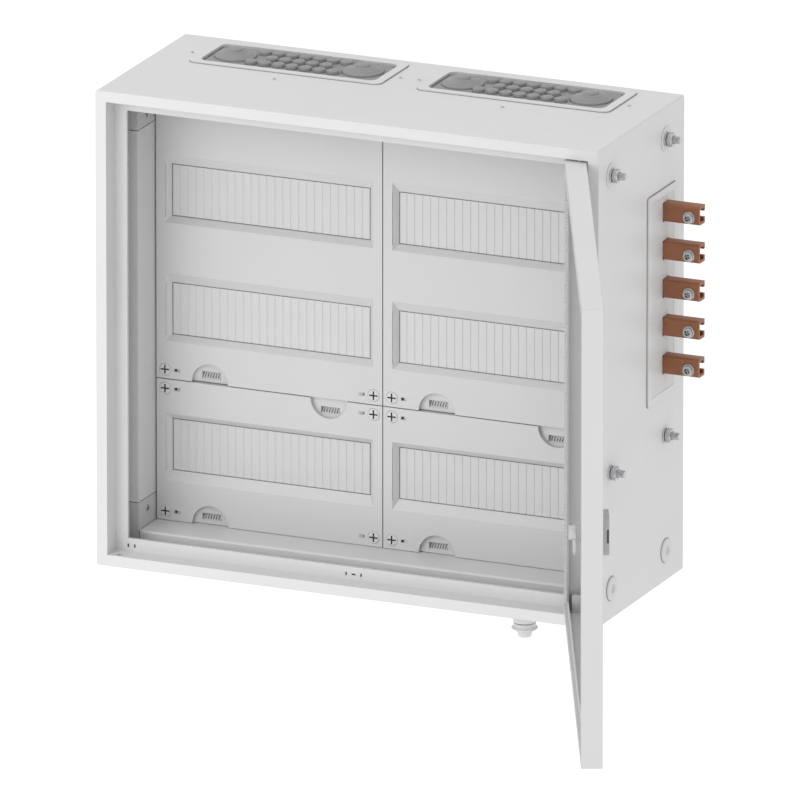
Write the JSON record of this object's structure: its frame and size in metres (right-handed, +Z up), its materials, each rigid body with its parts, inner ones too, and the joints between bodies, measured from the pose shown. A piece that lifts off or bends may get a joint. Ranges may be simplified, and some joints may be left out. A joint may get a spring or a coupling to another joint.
{
  "type": "wall distribution cabinet",
  "caption": "Sheet-steel wall cabinet with hinged door, slotted plastic covers over device rails, cable entries on top and copper busbars out of the side.",
  "frame": {"origin": "centre of the four wall-fixing holes, on the rear outer face", "axes": "+X to the right seen from the front, +Y into the wall, +Z up; the front faces -Y"},
  "size_m": [0.7516, 0.6859, 0.5385],
  "materials": {
    "sheet_paint": "light grey textured powder coat",
    "cover_plastic": "light grey moulded, fine satin grain",
    "strip_plastic": "light grey moulded, satin",
    "turn_plastic": "light grey moulded",
    "bracket_plastic": "light grey moulded",
    "side_plastic": "light grey moulded",
    "lock_plastic": "mid grey glass-filled moulded",
    "membrane": "light grey soft moulded",
    "gasket": "grey foam seal",
    "insulator": "light grey moulded",
    "gland_plastic": "light grey moulded",
    "zinc": "bright zinc plate",
    "copper": "bare drawn copper, dull brown"
  },
  "bodies": {
    "cabinet": {"busbar_1": "copper", "busbar_2": "copper", "busbar_3": "copper", "busbar_4": "copper", "busbar_5": "copper", "busbar_screws": "zinc", "busbar_supports": "insulator", "cable_gland": "gland_plastic", "case_screws": "zinc", "corner_brackets": "bracket_plastic", "coupling_nuts": "zinc", "coupling_studs": "zinc", "coupling_washers": "zinc", "cover_posts": "zinc", "cross_profiles": "sheet_paint", "din_rails": "zinc", "door_seat_frame": "sheet_paint", "enclosure_shell": "sheet_paint", "entry_membranes": "membrane", "entry_plates": "sheet_paint", "gland_nut": "gland_plastic", "hinge_pins": "zinc", "insulating_plate": "insulator", "rail_uprights": "zinc", "rear_wall": "sheet_paint", "side_flange": "sheet_paint", "side_plugs": "side_plastic", "side_profiles": "sheet_paint"},
    "door": {"door_panel": "sheet_paint", "door_gasket": "gasket", "hinge_bushes": "bracket_plastic", "lock_housing": "lock_plastic"},
    "door_lock": {"lock_insert": "lock_plastic", "lock_cam": "zinc", "lock_cam_nut": "zinc"},
    "cover_upper_left": {"cover_upper_left": "cover_plastic", "blanking_strips_upper_left": "strip_plastic"},
    "turn_lock_upper_left_top_left": {"turn_lock_upper_left_top_left": "turn_plastic"},
    "turn_lock_upper_left_bottom_left": {"turn_lock_upper_left_bottom_left": "turn_plastic"},
    "turn_lock_upper_left_top_right": {"turn_lock_upper_left_top_right": "turn_plastic"},
    "turn_lock_upper_left_bottom_right": {"turn_lock_upper_left_bottom_right": "turn_plastic"},
    "cover_upper_right": {"cover_upper_right": "cover_plastic", "blanking_strips_upper_right": "strip_plastic"},
    "turn_lock_upper_right_top_left": {"turn_lock_upper_right_top_left": "turn_plastic"},
    "turn_lock_upper_right_bottom_left": {"turn_lock_upper_right_bottom_left": "turn_plastic"},
    "turn_lock_upper_right_top_right": {"turn_lock_upper_right_top_right": "turn_plastic"},
    "turn_lock_upper_right_bottom_right": {"turn_lock_upper_right_bottom_right": "turn_plastic"},
    "cover_lower_left": {"cover_lower_left": "cover_plastic", "blanking_strips_lower_left": "strip_plastic"},
    "turn_lock_lower_left_top_left": {"turn_lock_lower_left_top_left": "turn_plastic"},
    "turn_lock_lower_left_bottom_left": {"turn_lock_lower_left_bottom_left": "turn_plastic"},
    "turn_lock_lower_left_top_right": {"turn_lock_lower_left_top_right": "turn_plastic"},
    "turn_lock_lower_left_bottom_right": {"turn_lock_lower_left_bottom_right": "turn_plastic"},
    "cover_lower_right": {"cover_lower_right": "cover_plastic", "blanking_strips_lower_right": "strip_plastic"},
    "turn_lock_lower_right_top_left": {"turn_lock_lower_right_top_left": "turn_plastic"},
    "turn_lock_lower_right_bottom_left": {"turn_lock_lower_right_bottom_left": "turn_plastic"},
    "turn_lock_lower_right_top_right": {"turn_lock_lower_right_top_right": "turn_plastic"},
    "turn_lock_lower_right_bottom_right": {"turn_lock_lower_right_bottom_right": "turn_plastic"}
  },
  "joints": [
    {"name": "door_hinge", "type": "hinge", "parent": "cabinet", "child": "door", "pos_m": [0.2525, -0.214, 0], "axis": [0, 0, 1], "range_deg": [-115, 0]},
    {"name": "door_lock_turn", "type": "hinge", "parent": "door", "child": "door_lock", "pos_m": [0.46439, -0.6542, 0], "axis": [-0.9063, -0.4226, 0], "range_deg": [0, 90]},
    {"name": "cover_upper_left_lift_off", "type": "slide", "parent": "cabinet", "child": "cover_upper_left", "axis": [0, -1, 0], "range_m": [0, 0.06]},
    {"name": "turn_lock_upper_left_top_left_turn", "type": "hinge", "parent": "cover_upper_left", "child": "turn_lock_upper_left_top_left", "pos_m": [-0.24, -0.128, 0.215], "axis": [0, 1, 0], "range_deg": [0, 90]},
    {"name": "turn_lock_upper_left_bottom_left_turn", "type": "hinge", "parent": "cover_upper_left", "child": "turn_lock_upper_left_bottom_left", "pos_m": [-0.24, -0.128, -0.065], "axis": [0, 1, 0], "range_deg": [0, 90]},
    {"name": "turn_lock_upper_left_top_right_turn", "type": "hinge", "parent": "cover_upper_left", "child": "turn_lock_upper_left_top_right", "pos_m": [-0.01, -0.128, 0.215], "axis": [0, 1, 0], "range_deg": [0, 90]},
    {"name": "turn_lock_upper_left_bottom_right_turn", "type": "hinge", "parent": "cover_upper_left", "child": "turn_lock_upper_left_bottom_right", "pos_m": [-0.01, -0.128, -0.065], "axis": [0, 1, 0], "range_deg": [0, 90]},
    {"name": "cover_upper_right_lift_off", "type": "slide", "parent": "cabinet", "child": "cover_upper_right", "axis": [0, -1, 0], "range_m": [0, 0.06]},
    {"name": "turn_lock_upper_right_top_left_turn", "type": "hinge", "parent": "cover_upper_right", "child": "turn_lock_upper_right_top_left", "pos_m": [0.01, -0.128, 0.215], "axis": [0, 1, 0], "range_deg": [0, 90]},
    {"name": "turn_lock_upper_right_bottom_left_turn", "type": "hinge", "parent": "cover_upper_right", "child": "turn_lock_upper_right_bottom_left", "pos_m": [0.01, -0.128, -0.065], "axis": [0, 1, 0], "range_deg": [0, 90]},
    {"name": "turn_lock_upper_right_top_right_turn", "type": "hinge", "parent": "cover_upper_right", "child": "turn_lock_upper_right_top_right", "pos_m": [0.24, -0.128, 0.215], "axis": [0, 1, 0], "range_deg": [0, 90]},
    {"name": "turn_lock_upper_right_bottom_right_turn", "type": "hinge", "parent": "cover_upper_right", "child": "turn_lock_upper_right_bottom_right", "pos_m": [0.24, -0.128, -0.065], "axis": [0, 1, 0], "range_deg": [0, 90]},
    {"name": "cover_lower_left_lift_off", "type": "slide", "parent": "cabinet", "child": "cover_lower_left", "axis": [0, -1, 0], "range_m": [0, 0.06]},
    {"name": "turn_lock_lower_left_top_left_turn", "type": "hinge", "parent": "cover_lower_left", "child": "turn_lock_lower_left_top_left", "pos_m": [-0.24, -0.128, -0.085], "axis": [0, 1, 0], "range_deg": [0, 90]},
    {"name": "turn_lock_lower_left_bottom_left_turn", "type": "hinge", "parent": "cover_lower_left", "child": "turn_lock_lower_left_bottom_left", "pos_m": [-0.24, -0.128, -0.215], "axis": [0, 1, 0], "range_deg": [0, 90]},
    {"name": "turn_lock_lower_left_top_right_turn", "type": "hinge", "parent": "cover_lower_left", "child": "turn_lock_lower_left_top_right", "pos_m": [-0.01, -0.128, -0.085], "axis": [0, 1, 0], "range_deg": [0, 90]},
    {"name": "turn_lock_lower_left_bottom_right_turn", "type": "hinge", "parent": "cover_lower_left", "child": "turn_lock_lower_left_bottom_right", "pos_m": [-0.01, -0.128, -0.215], "axis": [0, 1, 0], "range_deg": [0, 90]},
    {"name": "cover_lower_right_lift_off", "type": "slide", "parent": "cabinet", "child": "cover_lower_right", "axis": [0, -1, 0], "range_m": [0, 0.06]},
    {"name": "turn_lock_lower_right_top_left_turn", "type": "hinge", "parent": "cover_lower_right", "child": "turn_lock_lower_right_top_left", "pos_m": [0.01, -0.128, -0.085], "axis": [0, 1, 0], "range_deg": [0, 90]},
    {"name": "turn_lock_lower_right_bottom_left_turn", "type": "hinge", "parent": "cover_lower_right", "child": "turn_lock_lower_right_bottom_left", "pos_m": [0.01, -0.128, -0.215], "axis": [0, 1, 0], "range_deg": [0, 90]},
    {"name": "turn_lock_lower_right_top_right_turn", "type": "hinge", "parent": "cover_lower_right", "child": "turn_lock_lower_right_top_right", "pos_m": [0.24, -0.128, -0.085], "axis": [0, 1, 0], "range_deg": [0, 90]},
    {"name": "turn_lock_lower_right_bottom_right_turn", "type": "hinge", "parent": "cover_lower_right", "child": "turn_lock_lower_right_bottom_right", "pos_m": [0.24, -0.128, -0.215], "axis": [0, 1, 0], "range_deg": [0, 90]}
  ]
}
